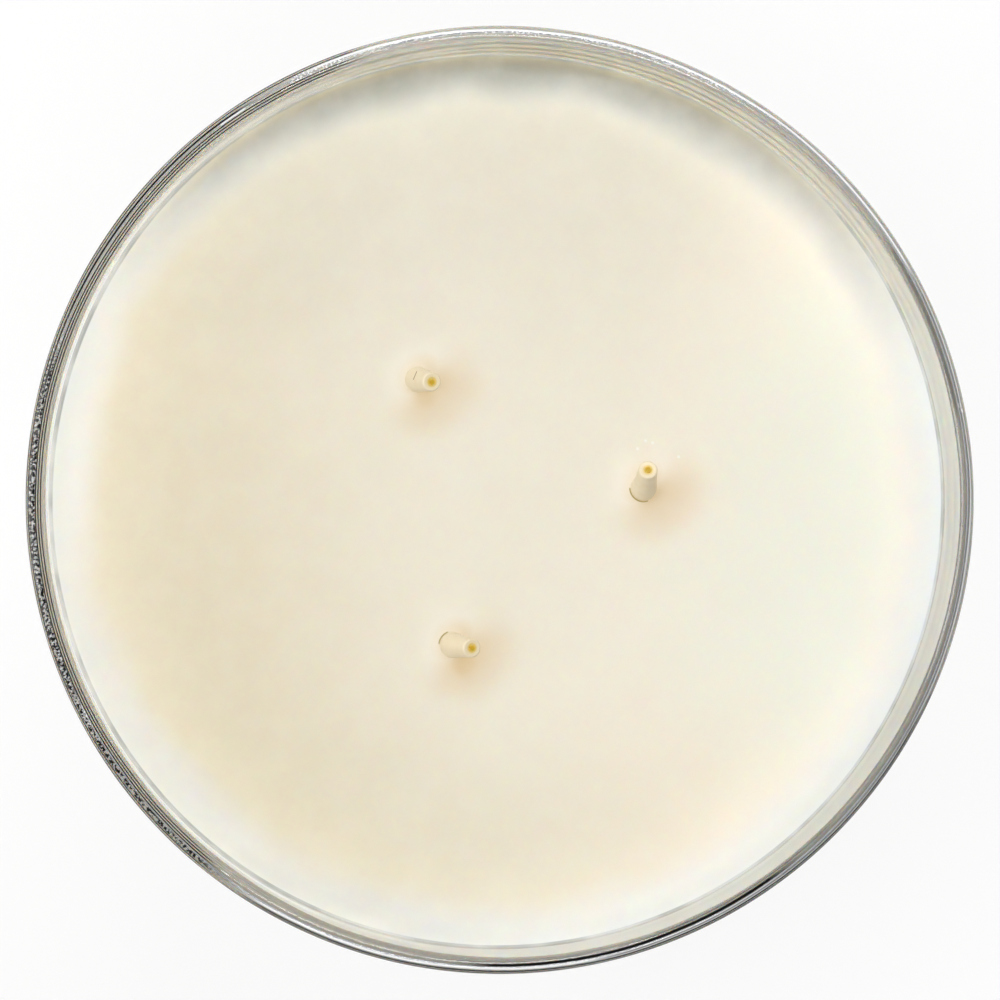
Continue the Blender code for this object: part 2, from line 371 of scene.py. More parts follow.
jar = {
    "height": 0.0890,
    "mouthRadius": 0.0510,
    "draft": 0.0007,
    "lipWall": 0.0018,
    "footWall": 0.0027,
    "floorHeight": 0.0115,
    "floorCorner": 0.0065,
    "heel": 0.0048,
    "bearing": 0.0080,
    "pushUp": 0.0014,
    "segments": 384,
    "waxLine": 0.0770,
    "coreShift": 0.00036,       # at the lip the inside stands this far off centre, so one side is thicker
    "wallWave": 0.00012,        # slow ripples of the inside face over the wax
    "crestRadius": 0.0501,
    "lipMelt": 0.00008,         # unevenness that the flame left on the lip
    "ringPitch": 0.00021,       # fine rings that the polishing left round the lip
    "ringDepth": 0.000006,
    "ringSide": (168, 0.30, 0.55),      # azimuth, and the cosines between which they fade in
    "strokeDepth": 0.000008,    # short strokes across the crest of the lip
    "strokeSides": ((197, 0.80, 0.93, 1.0), (80, 0.80, 0.95, 0.35)),
    # painted lines on the lip: pale ones for highlights, dark ones for dark refractions
    # azimuth and half its span in degrees, radius and width in metres, pale or dark, roughness
    "paintedLipLines": (
        (72, 40, 0.05045, 0.00022, 1.0, 0.0),
        (85, 24, 0.05028, 0.00050, 0.8, 1.0),
        (113, 3, 0.05025, 0.00090, 0.9, 1.0),
        (125, 1.5, 0.05020, 0.00030, 0.9, 0.0),
        (145, 20, 0.05036, 0.00024, -1.0, 0.0),
        (183, 19, 0.05030, 0.00085, -1.0, 0.7),
        (185, 22, 0.05032, 0.00080, 0.9, 1.0),
        (212, 18, 0.05035, 0.00050, -1.0, 0.8),
        (272, 31, 0.05036, 0.00022, 1.0, 0.0),
        (287, 18, 0.05000, 0.00036, -1.0, 0.0),
        (287, 26, 0.04968, 0.00012, -0.8, 0.0),
        (285, 45, 0.05066, 0.00018, -1.0, 0.0),
        (285, 50, 0.05087, 0.00013, -1.0, 0.0),
        (315, 40, 0.05100, 0.00010, -1.0, 0.0),
        (335, 50, 0.05056, 0.00012, 0.7, 0.0),
        (335, 50, 0.05040, 0.00018, -0.7, 0.0),
        (22, 9, 0.04990, 0.00040, -0.7, 0.0),
        (11.6, 0.25, 0.05044, 0.00030, 1.0, 0.0),
        (10.9, 0.20, 0.05052, 0.00026, 1.0, 0.0),
        (170, 60, 0.05093, 0.00014, -1.0, 0.0),
        (170, 60, 0.05068, 0.00014, -1.0, 0.0),
        (170, 60, 0.04990, 0.00014, -1.0, 0.0),
        (170, 60, 0.04964, 0.00014, -1.0, 0.0),
        (170, 58, 0.04938, 0.00014, -1.0, 0.0),
    ),
    # painted shade: the lip's glass tinted grey for the darker refraction seen in it
    "paintedLipShade": (0.60, 0.61, 0.66),
    "absorbColor": (0.51, 0.53, 0.54),
    "absorbDensity": 8.0,
    "shadowTint": (0.93, 0.95, 0.94),   # light that has passed one face of the glass
    "smudge": 0.02,
}


def innerRadius(height):
    # the inside of the wall is straight, from the floor to where the lip starts to curve
    low = jar["mouthRadius"] - jar["draft"] - jar["footWall"]
    high = jar["mouthRadius"] - jar["lipWall"]
    top = jar["height"] - jar["lipWall"] / 2
    return low + (high - low) * (height - jar["floorHeight"]) / (top - jar["floorHeight"])


def floorCorner(gap=0.0):
    centerHeight = jar["floorHeight"] + jar["floorCorner"]
    center = (innerRadius(centerHeight) - jar["floorCorner"], centerHeight)
    return arc(center, jar["floorCorner"] - gap, -90, 0, 14)


def jarOutline():
    lip = (jar["mouthRadius"] - jar["lipWall"] / 2, jar["height"] - jar["lipWall"] / 2)
    heel = (jar["mouthRadius"] - jar["draft"] - jar["heel"], jar["heel"])
    pushUpRadius = heel[0] - jar["bearing"]
    corner = floorCorner()
    rim = arc(lip, jar["lipWall"] / 2, 180, 0, 28)
    foot = arc(heel, jar["heel"], 0, -90, 14)
    outline = [(0.0, jar["floorHeight"])]
    outline += between(outline[0], corner[0], 16) + corner
    outline += between(corner[-1], rim[0], 22) + rim
    outline += between(rim[-1], foot[0], 20) + foot
    outline += between(foot[-1], (pushUpRadius, 0.0), 4)
    for step in range(17):
        share = 1 - step / 16
        outline.append((pushUpRadius * share, jar["pushUp"] * (1 - share ** 4)))
    return outline


def glassFlowTree():
    # slow waves on the inside, an off-centre plunger and a melted lip, all pushed into the glass only
    tree, source, result = newTree("glassFlow", {
        "Core Shift": ("Float", 0.0002), "Wall Wave": ("Float", 0.00005), "Lip Melt": ("Float", 0.0001),
        "Lip Height": ("Float", 0.0872), "Wax Line": ("Float", 0.077), "Inner Radius": ("Float", 0.0495),
        "Seed": ("Float", 3.0), "Finish": ("Material", None)})
    get = source.outputs
    flat, height = plan(tree, tree.nodes.new("GeometryNodeInputPosition").outputs[0])
    radius = vector(tree, "LENGTH", flat)
    outwards = vector(tree, "NORMALIZE", flat)
    inside = fade(tree, radius, get["Inner Radius"], minus(tree, get["Inner Radius"], 0.0004))
    above = fade(tree, height, get["Wax Line"], get["Lip Height"])
    mask = times(tree, inside, above)
    lowered = plus(tree, times(tree, height, 0.35), get["Seed"])
    shifted = vector(tree, "ADD", flat, axial(tree, 2, lowered))
    push = times(tree, drift(tree, shifted, 90.0, 1.0, get["Wall Wave"]), mask)
    offset = vector(tree, "SCALE", outwards, scale=times(tree, push, 2.0))
    sideways = axial(tree, 0, times(tree, get["Core Shift"], mask))
    lip = fade(tree, height, get["Lip Height"], plus(tree, get["Lip Height"], 0.0012))
    melt = grain(tree, shifted, 420.0, 2.0)
    sag = times(tree, times(tree, melt, get["Lip Melt"]), times(tree, lip, -1.0))
    total = vector(tree, "ADD", vector(tree, "ADD", offset, sideways), axial(tree, 2, sag))
    finishTree(tree, moveBy(tree, get["Geometry"], total), get["Finish"], result)
    return tree


def stroke(tree, flat, start, end, width):
    # 1 on a short line between two places in plan, 0 beside it
    way = Vector((end[0] - start[0], end[1] - start[1], 0.0))
    offset = vector(tree, "SUBTRACT", flat, (*start, 0.0))
    along = calc(tree, "DIVIDE", vector(tree, "DOT_PRODUCT", offset, way), way.length_squared)
    along = calc(tree, "MINIMUM", calc(tree, "MAXIMUM", along, 0.0), 1.0)
    off = vector(tree, "DISTANCE", offset, vector(tree, "SCALE", way, scale=along))
    return fade(tree, off, width * 0.3, width * 0.7, 1.0, 0.0)


def facing(tree, flat, azimuth, low, high):
    # 1 on the side of the jar that faces an azimuth, fading out between two cosines
    along = vector(tree, "DOT_PRODUCT", vector(tree, "NORMALIZE", flat), heading(azimuth))
    return fade(tree, along, low, high)


def crestPlace(tree, flat):
    # each place moved out or in to the crest of the lip, so that noise runs straight across the lip
    return vector(tree, "SCALE", vector(tree, "NORMALIZE", flat), scale=jar["crestRadius"])


def lipRelief(tree, place):
    # rings and strokes of the flame-polished lip, as a height in metres, deepest towards the left
    flat, height = plan(tree, place)
    onLip = fade(tree, height, jar["height"] - 0.0014, jar["height"] - 0.0009)
    radius = plus(tree, vector(tree, "LENGTH", flat), drift(tree, flat, 130.0, 1.0, 0.0008))
    phase = times(tree, radius, math.tau / jar["ringPitch"])
    rings = times(tree, calc(tree, "SINE", phase), jar["ringDepth"])
    rings = times(tree, rings, facing(tree, flat, *jar["ringSide"]))
    rough = plus(tree, drift(tree, crestPlace(tree, flat), 1500.0, 1.0, 1.0),
                 drift(tree, place, 2600.0, 1.0, 0.6))
    strength = 0.0
    for azimuth, low, high, share in jar["strokeSides"]:
        strength = plus(tree, strength, times(tree, facing(tree, flat, azimuth, low, high), share))
    strokes = times(tree, rough, times(tree, strength, jar["strokeDepth"]))
    return times(tree, plus(tree, rings, strokes), onLip)


def paintedLipLines(tree, place):
    # how far the painted dark lines, for dark refractions, and the pale frosted lines, for highlights,
    # cover each place on the lip
    flat, height = plan(tree, place)
    wander = drift(tree, crestPlace(tree, flat), 60.0, 1.0, 0.0003)
    radius = plus(tree, vector(tree, "LENGTH", flat), wander)
    crackle = {True: fade(tree, grain(tree, flat, 3600.0, 2.0), 0.50, 0.58),
               False: fade(tree, grain(tree, flat, 2900.0, 2.0), 0.44, 0.52)}
    onLip = fade(tree, height, jar["height"] - 0.0016, jar["height"] - 0.0010)
    cover = {True: 0.0, False: 0.0}
    for azimuth, halfSpan, lineRadius, width, tone, roughness in jar["paintedLipLines"]:
        light = tone > 0
        outer = math.cos(math.radians(halfSpan + min(6.0, halfSpan / 2)))
        inner = math.cos(math.radians(halfSpan))
        off = calc(tree, "ABSOLUTE", minus(tree, radius, lineRadius))
        line = fade(tree, off, width * 0.3, width * 0.7, abs(tone), 0.0)
        line = times(tree, line, facing(tree, flat, azimuth, outer, inner))
        if roughness:
            pattern = fade(tree, crackle[light], 0.0, 1.0, 1.0 - roughness, 1.0)
            line = times(tree, line, pattern)
        cover[light] = calc(tree, "MAXIMUM", cover[light], line)
    return onLip, times(tree, cover[False], onLip), times(tree, cover[True], onLip)


def glassFinish():
    finish, tree, shader, place = newFinish("clear_glass", 0.0, 1.5)
    # painted reflections and highlights: dark lines tint the lip's glass black, pale lines turn it to lit
    # frost
    onLip, dark, paintedGlintLines = paintedLipLines(tree, place)
    # painted shade: the lip's glass tinted grey
    tone = blend(tree, onLip, (1.0, 1.0, 1.0), jar["paintedLipShade"])
    tone = blend(tree, paintedGlintLines, tone, (1.0, 1.0, 1.0))
    smear = grain(tree, place, 60.0, 4.0, (1.0, 1.0, 0.3))
    feed(tree, shader, Base_Color=blend(tree, dark, tone, (0.0, 0.0, 0.0)),
         Transmission_Weight=minus(tree, 1.0, paintedGlintLines),
         Roughness=fade(tree, smear, 0.45, 0.8, 0.0, jar["smudge"]))
    streak = times(tree, grain(tree, place, 220.0, 2.0, (1.0, 1.0, 0.12)), 0.000005)
    addBump(tree, shader, plus(tree, streak, lipRelief(tree, place)), 1.0, 1.0)
    letThrough(tree, shader, jar["shadowTint"], 0.0)
    body = tree.nodes.new("ShaderNodeVolumeAbsorption")
    body.inputs["Color"].default_value = (*jar["absorbColor"], 1.0)
    body.inputs["Density"].default_value = jar["absorbDensity"]
    tree.links.new(body.outputs[0], tree.nodes["Material Output"].inputs["Volume"])
    return finish


clearGlass = glassFinish()
glass = turn("jar_glass", jarOutline(), jar["segments"])
runTree(glass, glassFlowTree(), {
    "Core Shift": jar["coreShift"], "Wall Wave": jar["wallWave"], "Lip Melt": jar["lipMelt"],
    "Wax Line": jar["waxLine"], "Finish": clearGlass})
glass = flatten(glass)
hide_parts("glass_jar")
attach(glass, "root")
print("jar:", len(glass.data.polygons), "faces")


# Wicks: each place and lean is the same as in the frame

wick = {
    "distances": (0.0159, 0.0161, 0.0166),
    "angles": (123.4, 5.0, 252.7),
    "leanDirections": (-17.6, 85.8, -6.9),
    "leans": (17.4, 22.3, 23.5),
    "trim": 0.0066,             # length out of the wax
    "bend": 0.0032,
    "bodyStep": 0.0015,
    "start": 0.0014,            # over the glass floor
    "coreRadius": 0.00042,
    "braidCover": 0.00016,      # wax over the end of the braid
    "coatBore": 0.00087,
    "coatRadius": 0.00142,
    "coatTip": 0.00108,
    "coatBottom": 0.0077,
    "coatSegments": 144,
    "lump": 0.00005,
    "lumpScale": 700.0,
    "cutEdge": 0.00022,         # how far the cut end is rounded
    "cutDip": 0.00004,          # how far the cut face sinks towards the core
    "holeDepth": 0.00012,       # where the cut face ends at the core, and where the bore starts
    "boreDepth": 0.00014,
    "cutHalo": 0.12,            # how far the core's amber has run into the rim of the cut
    "filaments": 31,
    "filamentRadius": 0.00010,
    "coreProud": 0.00003,
    "coatColor": (0.90, 0.74, 0.49),
    "paleColor": (0.94, 0.84, 0.62),
    "braidColor": (0.86, 0.78, 0.60),
    "fuzzColor": (0.90, 0.85, 0.70),
    "coreColor": (0.60, 0.34, 0.01),
    "haloColor": (0.80, 0.58, 0.12),
    "shadowTint": (0.975, 0.950, 0.900),   # light that has passed one face of the coat
    # painted shade: a dark line drawn for a split in the first coat
    "tick": ((-0.00931, 0.01317), (-0.00894, 0.01405), 0.00008),    # a split in the first coat
    "splitShadeColor": (0.34, 0.22, 0.09),
}
wax = {
    "depth": 0.0645,
    "meniscusRise": 0.0009,
    "meniscusWidth": 0.0050,
    "grip": 0.00001,            # how far the wax is let into the glass where it sticks
    "segments": 384,
    "ringStep": 0.0005,
    "collarRise": 0.00030,
    "collarWidth": 0.0011,
    "swell": 0.00010,
    # radii and heights of the room round a sustainer, from its neck down and out to under the floor
    "footRoom": ((0.0017, 0.0075), (0.0017, 0.0027), (0.0022, 0.00225), (0.0101, 0.0021),
                 (0.0101, -0.001), (0.0, -0.001)),
    "crackWidths": (0.0, 0.00006, 0.00004),
    "crackDirections": (160.0, 235.0, 146.0),
    "color": (0.885, 0.832, 0.710),
    # painted light and shade: the right side of the top lighter, the left side warmer and darker
    "rightColor": (0.995, 0.905, 0.790),
    "leftColor": (0.80, 0.725, 0.56),
    # painted light: the edge of the top turned to a cooler tone, for light that comes in through the glass
    # wall
    "edgeColor": (0.840, 0.825, 0.785),
    # painted shade: the front side of the top darker and browner
    "frontColor": (0.74, 0.68, 0.50),
    # painted shade: a dark crescent along the back wall, and softer shade along the lower edge
    "shadeColor": (0.36, 0.35, 0.28),
    # painted shade: a grey line where the wax meets the glass
    "lineColor": (0.30, 0.31, 0.30),
    # painted shadow: the warm colour of the shade round the wicks
    "haloColor": (0.64, 0.42, 0.13),
    # painted shade: dark lines in the gaps at the roots of two wicks
    "crevices": ((1, 234, 50), (2, 143, 28)),       # wick, azimuth and half its span in degrees
    "creviceShadeColor": (0.38, 0.30, 0.09),
    "creviceOffset": 0.00010,
    "creviceWidth": (0.00004, 0.00010),
    # radii between which each painted shade fades in, its share, its azimuth, and the cosines of its ends
    "front": (0.0200, 0.0400, 0.40, 258, 0.20, 0.95),
    "slow": (0.0120, 0.0500, 0.22, 95, 0.35, 1.0),
    "steep": (0.0434, 0.0487, 0.78, 84, 0.30, 1.0),
    "low": (0.0420, 0.0470, 0.15, 228, 0.60, 1.0),
    "outer": (0.0463, 0.0482, 0.13, 280, 0.20, 0.95),
    "edge": (0.0425, 0.0475),
    "rim": (0.04868, 0.04880),
    # painted shadow round the wicks, and painted shadow spots under two of them
    "wideShadow": (0.0080, 0.62, 315, -0.6, 1.0),     # reach, share, azimuth and cosines
    "closeShadow": (0.0012, 0.0036, 0.34),
    "shadowShift": 0.0005,
    "clearRoom": (0.0022, 0.0055, 0.1, 1.0),        # radii, and the share of light let in at each
    "shadowSpots": ((-0.0080, 0.0114, 0.0018, 0.20), (-0.0036, -0.0181, 0.0018, 0.24)),
    "mottleColor": (0.95, 0.92, 0.84),
    # painted highlights: small white glints where tiny pits in the top catch the light
    "glintColor": (1.0, 0.98, 0.92),
    "glintSize": (0.00008, 0.00024),
    "glints": ((0.01627, 0.00659), (0.01704, 0.00637), (0.01539, 0.00571), (0.01990, 0.00483)),
}
surface = jar["floorHeight"] + wax["depth"]


def seat(index):
    angle = math.radians(wick["angles"][index])
    distance = wick["distances"][index]
    place = Vector((distance * math.cos(angle), distance * math.sin(angle), jar["floorHeight"]))
    return Matrix.Translation(place) @ Matrix.Rotation(math.radians(wick["leanDirections"][index]), 4, "Z")


def root(index):
    # where a wick stands, seen from above
    return Vector((*seat(index).translation.xy, 0.0))


def wickLine(start, lean, steps=36):
    # (point, tilt) pairs in the seat's frame: upright in the wax, then bent along +X
    count = max(2, round((wax["depth"] - start) / wick["bodyStep"]))
    rise = (wax["depth"] - start) / count
    line = [(Vector((0.0, 0.0, start + rise * step)), 0.0) for step in range(count + 1)]
    point = line[-1][0].copy()
    stepLength = wick["trim"] / steps
    for step in range(steps):
        tilt = math.radians(lean) * smooth((step + 0.5) * stepLength / wick["bend"])
        point = point + Vector((math.sin(tilt), 0.0, math.cos(tilt))) * stepLength
        line.append((point, tilt))
    return line


def wickCurve(name, index, tipShift):
    # the middle line of a yarn, which ends tipShift past the wick's cut
    line = wickLine(wick["start"], wick["leans"][index])
    tip, tilt = line[-1]
    points = [point for point, other in line if (tip - point).length > max(0.0, -tipShift) + 0.00002]
    points.append(tip + Vector((math.sin(tilt), 0.0, math.cos(tilt))) * tipShift)
    return addPiece(name, pathMesh(name, [seat(index) @ point for point in points]))


def copyPath(tree, get, amount):
    # the wick's middle line once for each yarn, and the yarns' numbers
    path = addNode(tree, "GeometryNodeMeshToCurve", {"Mesh": get["Geometry"]}).outputs[0]
    path = addNode(tree, "GeometryNodeResampleCurve", {"Curve": path, "Count": get["Points"]}).outputs[0]
    inputs = {"Geometry": path, "Amount": amount}
    copies = addNode(tree, "GeometryNodeDuplicateElements", inputs, domain="SPLINE")
    return copies.outputs["Geometry"], copies.outputs["Duplicate Index"]


def turnAlong(tree, pitch):
    # how far a yarn has wound round the path, in radians
    along = tree.nodes.new("GeometryNodeSplineParameter").outputs["Length"]
    return times(tree, calc(tree, "DIVIDE", along, pitch), math.tau)


def thicken(tree, curve, sides, radius):
    profile = addNode(tree, "GeometryNodeCurvePrimitiveCircle", {"Resolution": sides, "Radius": radius})
    inputs = {"Curve": curve, "Profile Curve": profile.outputs[0], "Fill Caps": True}
    return addNode(tree, "GeometryNodeCurveToMesh", inputs).outputs[0]


goldenAngle = 2.39996           # radians from one filament to the next


def bundleTree():
    # parallel filaments packed in a sunflower pattern round a path, twisted along it
    tree, source, result = newTree("filamentBundle", {
        "Filaments": ("Int", 19), "Bundle Radius": ("Float", 0.0003), "Filament Radius": ("Float", 0.0001),
        "Pitch": ("Float", 0.006), "Points": ("Int", 150), "Sides": ("Int", 6),
        "Finish": ("Material", None)})
    get = source.outputs
    copies, number = copyPath(tree, get, get["Filaments"])
    share = calc(tree, "DIVIDE", plus(tree, number, 0.3), get["Filaments"])
    radius = times(tree, calc(tree, "SQRT", share), get["Bundle Radius"])
    angle = plus(tree, times(tree, number, goldenAngle), turnAlong(tree, get["Pitch"]))
    moved = placeAround(tree, copies, angle, radius)
    inputs = {"Geometry": moved, "Name": "layer", "Value": share}
    marked = addNode(tree, "GeometryNodeStoreNamedAttribute", inputs, data_type="FLOAT", domain="POINT")
    body = thicken(tree, marked.outputs[0], get["Sides"], get["Filament Radius"])
    finishTree(tree, body, get["Finish"], result)
    return tree


def placeAround(tree, geometry, angle, radius):
    normal = tree.nodes.new("GeometryNodeInputNormal").outputs[0]
    tangent = tree.nodes.new("GeometryNodeInputTangent").outputs[0]
    across = vector(tree, "CROSS_PRODUCT", tangent, normal)
    offset = vector(tree, "ADD", vector(tree, "SCALE", normal, scale=calc(tree, "COSINE", angle)),
                    vector(tree, "SCALE", across, scale=calc(tree, "SINE", angle)))
    return moveBy(tree, geometry, vector(tree, "SCALE", offset, scale=radius))


def braidTree():
    # a round plait: half the strands wind one way, half the other, and they pass over and under
    tree, source, result = newTree("roundBraid", {
        "Strands": ("Int", 12), "Lay Radius": ("Float", 0.00064), "Strand Radius": ("Float", 0.00017),
        "Weave Depth": ("Float", 0.00004), "Pitch": ("Float", 0.009), "Points": ("Int", 220),
        "Sides": ("Int", 6), "Finish": ("Material", None)})
    get = source.outputs
    copies, number = copyPath(tree, get, get["Strands"])
    side = minus(tree, times(tree, calc(tree, "MODULO", number, 2.0), 2.0), 1.0)
    turnAngle = turnAlong(tree, get["Pitch"])
    pair = calc(tree, "FLOOR", calc(tree, "DIVIDE", number, 2.0))
    start = times(tree, pair, calc(tree, "DIVIDE", 2 * math.tau, get["Strands"]))
    angle = plus(tree, start, times(tree, turnAngle, side))
    phase = times(tree, times(tree, turnAngle, get["Strands"]), 0.5)
    wave = times(tree, calc(tree, "COSINE", phase), times(tree, get["Weave Depth"], side))
    moved = placeAround(tree, copies, angle, plus(tree, get["Lay Radius"], wave))
    finishTree(tree, thicken(tree, moved, get["Sides"], get["Strand Radius"]), get["Finish"], result)
    return tree


def coatRings(line):
    # (point, tilt, radius, halo) rings: up the outside, over the sealed cut, and down the bore
    tip, tipTilt = line[-1]
    axis = Vector((math.sin(tipTilt), 0.0, math.cos(tipTilt)))
    bore = wick["coatBore"]
    edge = wick["cutEdge"]
    rings = []
    for point, tilt in line:
        if (tip - point).length > edge:
            taper = smooth((point.z - wax["depth"]) / wick["trim"]) * (wick["coatTip"] - wick["coatRadius"])
            rings.append((point, tilt, wick["coatRadius"] + taper, 0.0))
    for step in range(7):
        angle = math.pi / 2 * step / 6
        rings.append((tip - axis * edge * (1 - math.sin(angle)), tipTilt,
                      wick["coatTip"] - edge * (1 - math.cos(angle)), 0.0))
    face = wick["coatTip"] - edge
    hole = wick["coreRadius"] - wick["coreProud"]
    for step in range(1, 8):
        share = step / 7
        halo = wick["cutHalo"] + (1 - wick["cutHalo"]) * smooth(1.6 * share - 0.6)
        rings.append((tip - axis * wick["cutDip"] * share, tipTilt, face + (hole - face) * share, halo))
    rings.append((tip - axis * wick["holeDepth"], tipTilt, hole, 1.0))
    rings.append((tip - axis * wick["boreDepth"], tipTilt, bore, 0.0))
    rings += [(point, tilt, bore, 0.0) for point, tilt in reversed(line)
              if (tip - point).length > wick["boreDepth"] + 0.00006]
    return rings


def coatMesh(name, index):
    segments = wick["coatSegments"]
    place = seat(index)
    rings = coatRings(wickLine(wick["coatBottom"], wick["leans"][index], 80))
    work = bmesh.new()
    halo = work.verts.layers.float.new("halo")
    loops = []
    for point, tilt, radius, glow in rings:
        right = Vector((math.cos(tilt), 0.0, -math.sin(tilt)))
        loop = []
        for part in range(segments):
            angle = math.tau * part / segments
            outwards = right * math.cos(angle) + Vector((0.0, 1.0, 0.0)) * math.sin(angle)
            spot = point + outwards * radius
            if radius > wick["coatBore"] + 0.00005:
                lump = 0.5 + 0.5 * noise.noise(spot * wick["lumpScale"] + Vector((index * 9.1, 0.0, 0.0)))
                spot -= outwards * wick["lump"] * lump * smooth((point.z - wax["depth"] - 0.0004) / 0.001)
            vertex = work.verts.new(place @ spot)
            vertex[halo] = glow
            loop.append(vertex)
        loops.append(loop)
    for row in range(len(loops)):
        first, second = loops[row], loops[(row + 1) % len(loops)]
        for part in range(segments):
            after = (part + 1) % segments
            work.faces.new((first[part], first[after], second[after], second[part]))
    bmesh.ops.recalc_face_normals(work, faces=work.faces)
    mesh = bpy.data.meshes.new(name)
    work.to_mesh(mesh)
    work.free()
    mesh.shade_smooth()
    mesh.set_sharp_from_angle(angle=math.radians(60))
    return mesh


def coatFinish():
    finish, tree, shader, place = newFinish("wick_wax", 0.40, 1.44)
    flat = plan(tree, place)[0]
    cloud = grain(tree, place, 1000.0, 1.0)
    color = blend(tree, cloud, wick["coatColor"], wick["paleColor"])
    # painted shade: a dark line for a split in the coat
    color = blend(tree, stroke(tree, flat, *wick["tick"]), color, wick["splitShadeColor"])
    halo = addNode(tree, "ShaderNodeAttribute", attribute_name="halo").outputs["Fac"]
    color = blend(tree, halo, color, wick["haloColor"])
    rough = fade(tree, grain(tree, place, 1600.0, 1.0), 0.3, 0.7, 0.30, 0.48)
    feed(tree, shader, Base_Color=color, Roughness=rough)
    letThrough(tree, shader, wick["shadowTint"], 0.6)
    addBump(tree, shader, grain(tree, place, 1200.0, 1.0), 0.10, 0.00002)
    return finish


def braidFinish():
    finish, tree, shader, place = newFinish("cotton_braid", 0.6, 1.45, Subsurface_Weight=0.6,
                                            Subsurface_Scale=0.0006)
    fuzz = grain(tree, place, 5000.0, 2.0, (1.0, 1.0, 0.2))
    feed(tree, shader, Base_Color=blend(tree, fuzz, wick["braidColor"], wick["fuzzColor"]))
    addBump(tree, shader, fuzz, 0.4, 0.00003)
    return finish


def coreFinish():
    finish, tree, shader, place = newFinish("wick_core", 0.5, 1.45, Subsurface_Weight=0.3,
                                            Subsurface_Scale=0.0004)
    layer = addNode(tree, "ShaderNodeAttribute", attribute_name="layer").outputs["Fac"]
    color = blend(tree, fade(tree, layer, 0.45, 0.95), wick["coreColor"], wick["haloColor"])
    feed(tree, shader, Base_Color=color)
    addBump(tree, shader, grain(tree, place, 6000.0), 0.4, 0.00002)
    return finish


wickWax = coatFinish()
cottonBraid = braidFinish()
amberCore = coreFinish()
bundle = bundleTree()
plait = braidTree()

for index in range(3):
    label = "wick_" + str(index + 1)
    core = wickCurve("core_" + label, index, wick["coreProud"])
    runTree(core, bundle, {"Filaments": wick["filaments"], "Filament Radius": wick["filamentRadius"],
                           "Bundle Radius": wick["coreRadius"] - wick["filamentRadius"],
                           "Finish": amberCore})
    braid = wickCurve("braid_" + label, index, -wick["braidCover"])
    runTree(braid, plait, {"Finish": cottonBraid})
    coat = addPiece("coat_" + label, coatMesh("coat_" + label, index), wickWax)
    core, braid = flatten(core, weld=0), flatten(braid, weld=0)
    for yarn in (core, braid):          # light reaches the coat and the wax through its yarns
        yarn.visible_shadow = False
        yarn.visible_diffuse = False
    for piece, node, slot in ((core, "_core", "wick_core"), (braid, "_braid", "cotton_braid"),
                              (coat, "_wax_coat", "wick_wax")):
        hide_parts(label + node)
        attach(piece, "root")
print("wicks placed")


# Wax fill

def waxOutline():
    edge = innerRadius(surface + wax["meniscusRise"]) + wax["grip"]
    outline = [(0.0, surface)]
    rings = round(edge / wax["ringStep"])
    for ring in range(1, rings + 1):
        radius = edge * ring / rings
        share = max(0.0, 1 - (edge - radius) / wax["meniscusWidth"])
        outline.append((radius, surface + wax["meniscusRise"] * share ** 3))
    corner = list(reversed(floorCorner(-wax["grip"])))
    outline += between(outline[-1], corner[0], 20) + corner
    outline += between(corner[-1], (0.0, jar["floorHeight"] - wax["grip"]), 6)
    outline.append((0.0, jar["floorHeight"] - wax["grip"]))
    return outline


def refineRoundWicks(piece):
    work = bmesh.new()
    work.from_mesh(piece.data)
    centers = [root(index) for index in range(3)]
    near = [edge for edge in work.edges if all(vertex.co.z > surface - 0.0001 for vertex in edge.verts)
            and any(math.hypot(vertex.co.x - center.x, vertex.co.y - center.y) < 0.0042
                    for vertex in edge.verts for center in centers)]
    bmesh.ops.subdivide_edges(work, edges=near, cuts=2, use_grid_fill=True)
    work.to_mesh(piece.data)
    work.free()


def pourTree():
    # the set surface: a slow swell, and a low collar round each wick
    tree, source, result = newTree("pouredSurface", {
        "Surface": ("Float", 0.076), "Swell": ("Float", 0.0001), "Collar Rise": ("Float", 0.0002),
        "Collar Width": ("Float", 0.001), "Wick Radius": ("Float", 0.00142),
        "Wick A": ("Vector", None), "Wick B": ("Vector", None), "Wick C": ("Vector", None),
        "Finish": ("Material", None)})
    get = source.outputs
    flat, height = plan(tree, tree.nodes.new("GeometryNodeInputPosition").outputs[0])
    top = fade(tree, height, minus(tree, get["Surface"], 0.0002), get["Surface"])
    swell = drift(tree, flat, 55.0, 2.0, get["Swell"])
    rise = times(tree, swell, fade(tree, vector(tree, "LENGTH", flat), 0.040, 0.047, 1.0, 0.0))
    for label in ("Wick A", "Wick B", "Wick C"):
        clear = minus(tree, vector(tree, "DISTANCE", flat, get[label]), get["Wick Radius"])
        reach = calc(tree, "DIVIDE", clear, get["Collar Width"])
        bump = calc(tree, "EXPONENT", times(tree, calc(tree, "MAXIMUM", reach, 0.0), -1.6))
        rise = plus(tree, rise, times(tree, bump, get["Collar Rise"]))
    lifted = axial(tree, 2, times(tree, rise, top))
    finishTree(tree, moveBy(tree, get["Geometry"], lifted), get["Finish"], result)
    return tree


